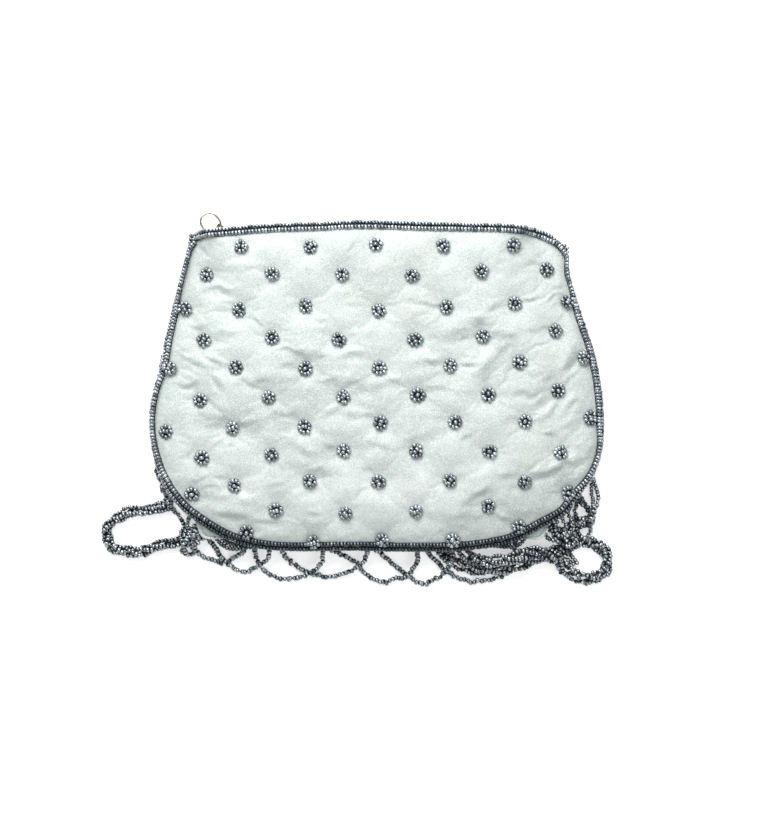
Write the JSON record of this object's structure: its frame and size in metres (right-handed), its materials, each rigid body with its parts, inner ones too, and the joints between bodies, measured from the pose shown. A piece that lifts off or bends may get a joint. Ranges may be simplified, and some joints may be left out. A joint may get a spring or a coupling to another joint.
{
  "type": "beaded evening bag",
  "caption": "Small padded satin evening bag dotted with bead flowers, edged with seed beads, with a zipped top, a beaded rope strap and a looped bead fringe.",
  "frame": {"origin": "middle of the flat on the back panel, where the bag rests on a table", "axes": "+X to the bag's right as seen from its front, +Y from the foot to the zipped top edge, +Z out of the front panel"},
  "size_m": [0.2321, 0.1691, 0.0232],
  "materials": {
    "satin": "satin",
    "border_beads": "glossy, lustred grey",
    "strap_beads": "glossy, lustred grey",
    "fringe_beads": "glossy, lustred grey",
    "interlining": "matte",
    "lining": "satin",
    "zip_tape": "matte",
    "zip_metal": "polished",
    "pull_wire": "polished, pale gold",
    "link_metal": "dark oxidised",
    "binding_thread": "matte"
  },
  "bodies": {
    "bag": {"front_panel": "satin", "back_panel": "satin", "front_interlining": "interlining", "back_interlining": "interlining", "lining_pocket": "lining", "front_border": "border_beads", "back_border": "border_beads", "zip_teeth_front": "zip_metal", "zip_teeth_back": "zip_metal", "zip_tape_front": "zip_tape", "zip_tape_back": "zip_tape", "zip_top_stop_front": "zip_metal", "zip_top_stop_back": "zip_metal", "zip_bottom_stop": "zip_metal", "strap_rope": "strap_beads", "strap_binding_left": "binding_thread", "strap_binding_right": "binding_thread", "fringe_scallop_1": "fringe_beads", "fringe_scallop_2": "fringe_beads", "fringe_scallop_3": "fringe_beads", "fringe_scallop_4": "fringe_beads", "fringe_scallop_5": "fringe_beads", "fringe_scallop_6": "fringe_beads", "fringe_scallop_7": "fringe_beads"},
    "slider": {"zip_slider": "zip_metal"},
    "pull_link": {"zip_pull_link": "link_metal"},
    "pull_ring": {"zip_pull_ring": "pull_wire"}
  },
  "joints": [
    {"name": "slider_slide", "type": "slide", "parent": "bag", "child": "slider", "axis": [1, 0, 0], "range_m": [0, 0.122], "deforming": ["zip_teeth_front", "zip_teeth_back"]},
    {"name": "pull_swing", "type": "hinge", "parent": "slider", "child": "pull_link", "pos_m": [-0.0675, 0.0701, 0.011], "axis": [0, 0, 1], "range_deg": [-132, 8]},
    {"name": "ring_swing", "type": "hinge", "parent": "pull_link", "child": "pull_ring", "pos_m": [-0.07072, 0.07181, 0.011], "axis": [0.4695, 0.8829, 0], "range_deg": [-35, 35]}
  ]
}
